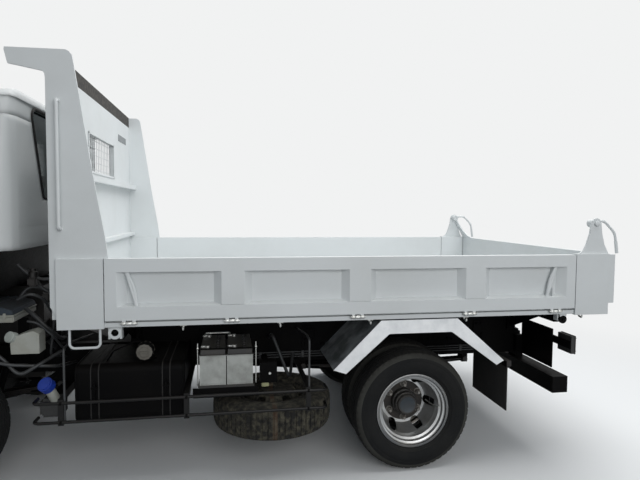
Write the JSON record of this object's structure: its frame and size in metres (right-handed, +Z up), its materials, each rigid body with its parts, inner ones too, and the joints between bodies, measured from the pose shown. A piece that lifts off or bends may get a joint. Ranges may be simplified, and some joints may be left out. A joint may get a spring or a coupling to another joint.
{
  "type": "drop-side tipper truck",
  "caption": "White cab-over tipper truck with steel drop sides, a tall headboard, top-hung tailgate, twin rear wheels and a hoist that tips the bed.",
  "frame": {"origin": "on the ground in the middle of the truck's box", "axes": "-X is the truck's front, -Y its left side, +Z up"},
  "size_m": [5.3749, 2.4, 2.477],
  "materials": {
    "white_paint": "gloss enamel, a little chalked",
    "black_paint": "satin chassis black, dusty",
    "tyre": "dusty tread rubber",
    "silver_rim": "silver wheel paint, brake dust",
    "bare_aluminium": "dull sheet",
    "rubber": "matt sheet rubber",
    "glass": "lightly tinted",
    "red_lens": "moulded lens",
    "clear_lens": "headlamp lens",
    "white_plastic": "blow-moulded polythene",
    "dark_plastic": "grained moulding",
    "seat_fabric": "woven seat cloth",
    "cast_metal": "oily casting",
    "steel": "plated rod"
  },
  "bodies": {
    "chassis": {"frame_rails": "black_paint", "crossmembers": "black_paint", "tow_jaw": "black_paint", "subframe": "black_paint", "bed_seats": "black_paint", "front_axle": "black_paint", "rear_axle": "black_paint", "leaf_springs": "black_paint", "propshaft": "black_paint", "engine": "cast_metal", "exhaust": "cast_metal", "fuel_tank": "black_paint", "batteries": "dark_plastic", "spare_wheel": "tyre", "side_guards": "black_paint", "mudguards": "bare_aluminium", "mud_flaps": "rubber", "rear_underrun": "black_paint", "tail_lamps": "red_lens", "coolant_bottle": "white_plastic", "front_bumper": "white_paint", "headlamps": "clear_lens", "cab_steps": "dark_plastic"},
    "cab": {"cab_floor": "black_paint", "cab_front": "white_paint", "cab_roof": "white_paint", "cab_shell": "white_paint", "cab_glass": "glass", "seats": "seat_fabric", "dashboard": "dark_plastic", "grille": "dark_plastic", "mirrors": "dark_plastic"},
    "left_door": {"door_left": "white_paint", "door_glass_left": "glass"},
    "right_door": {"door_right": "white_paint", "door_glass_right": "glass"},
    "left_knuckle": {"knuckle_left": "cast_metal"},
    "right_knuckle": {"knuckle_right": "cast_metal"},
    "left_front_wheel": {"front_tyre_left": "tyre", "front_wheel_left": "silver_rim"},
    "right_front_wheel": {"front_tyre_right": "tyre", "front_wheel_right": "silver_rim"},
    "left_rear_wheels": {"rear_tyres_left": "tyre", "rear_wheels_left": "silver_rim"},
    "right_rear_wheels": {"rear_tyres_right": "tyre", "rear_wheels_right": "silver_rim"},
    "bed": {"bed_floor": "white_paint", "bed_beams": "white_paint", "cross_beams": "white_paint", "front_posts": "white_paint", "headboard": "white_paint", "headboard_strip": "rubber", "rear_posts": "white_paint", "bed_rails": "white_paint"},
    "left_gate": {"gate_left": "white_paint"},
    "right_gate": {"gate_right": "white_paint"},
    "tail_gate": {"tailgate": "white_paint"},
    "hoist_cylinder": {"hoist_barrel": "black_paint"},
    "hoist_ram": {"hoist_rod": "steel"}
  },
  "joints": [
    {"name": "cab_tilt", "type": "hinge", "parent": "chassis", "child": "cab", "pos_m": [-2.593, 0, 0.7], "axis": [0, -1, 0], "range_deg": [0, 45]},
    {"name": "left_door_open", "type": "hinge", "parent": "cab", "child": "left_door", "pos_m": [-2.4075, -1.008, 1], "axis": [0, 0, -1], "range_deg": [0, 70]},
    {"name": "right_door_open", "type": "hinge", "parent": "cab", "child": "right_door", "pos_m": [-2.4075, 1.008, 1], "axis": [0, 0, 1], "range_deg": [0, 70]},
    {"name": "steer_left", "type": "hinge", "parent": "chassis", "child": "left_knuckle", "pos_m": [-1.5, -0.712, 0.38], "axis": [0, 0, 1], "range_deg": [-35, 35]},
    {"name": "steer_right", "type": "hinge", "parent": "chassis", "child": "right_knuckle", "pos_m": [-1.5, 0.712, 0.38], "axis": [0, 0, 1], "range_deg": [-35, 35]},
    {"name": "front_left_roll", "type": "hinge", "parent": "left_knuckle", "child": "left_front_wheel", "pos_m": [-1.5, -0.8325, 0.38], "axis": [0, 1, 0], "continuous": true},
    {"name": "front_right_roll", "type": "hinge", "parent": "right_knuckle", "child": "right_front_wheel", "pos_m": [-1.5, 0.8325, 0.38], "axis": [0, 1, 0], "continuous": true},
    {"name": "rear_left_roll", "type": "hinge", "parent": "chassis", "child": "left_rear_wheels", "pos_m": [1.3, -0.801, 0.38], "axis": [0, 1, 0], "continuous": true},
    {"name": "rear_right_roll", "type": "hinge", "parent": "chassis", "child": "right_rear_wheels", "pos_m": [1.3, 0.801, 0.38], "axis": [0, 1, 0], "continuous": true},
    {"name": "bed_tilt", "type": "hinge", "parent": "chassis", "child": "bed", "pos_m": [2.274, 0, 0.948], "axis": [0, 1, 0], "range_deg": [0, 50]},
    {"name": "gate_left_drop", "type": "hinge", "parent": "bed", "child": "left_gate", "pos_m": [0.913, -1.1, 1.007], "axis": [1, 0, 0], "range_deg": [0, 175]},
    {"name": "gate_right_drop", "type": "hinge", "parent": "bed", "child": "right_gate", "pos_m": [0.913, 1.1, 1.007], "axis": [-1, 0, 0], "range_deg": [0, 175]},
    {"name": "tailgate_swing", "type": "hinge", "parent": "bed", "child": "tail_gate", "pos_m": [2.482, 0, 1.564], "axis": [0, -1, 0], "range_deg": [0, 90]},
    {"name": "hoist_pivot", "type": "hinge", "parent": "chassis", "child": "hoist_cylinder", "pos_m": [-0.455, 0, 0.66], "axis": [0, -1, 0], "range_deg": [0, 26]},
    {"name": "hoist_slide", "type": "slide", "parent": "hoist_cylinder", "child": "hoist_ram", "axis": [0.9859, 0, 0.1676], "range_m": [0, 0.82]}
  ],
  "couplings": [
    {"joint": "steer_right", "follows": "steer_left", "ratio": 1},
    {"joint": "hoist_pivot", "follows": "bed_tilt", "ratio": 0.50202},
    {"joint": "hoist_slide", "follows": "bed_tilt", "m_per_rad": 0.93387}
  ]
}
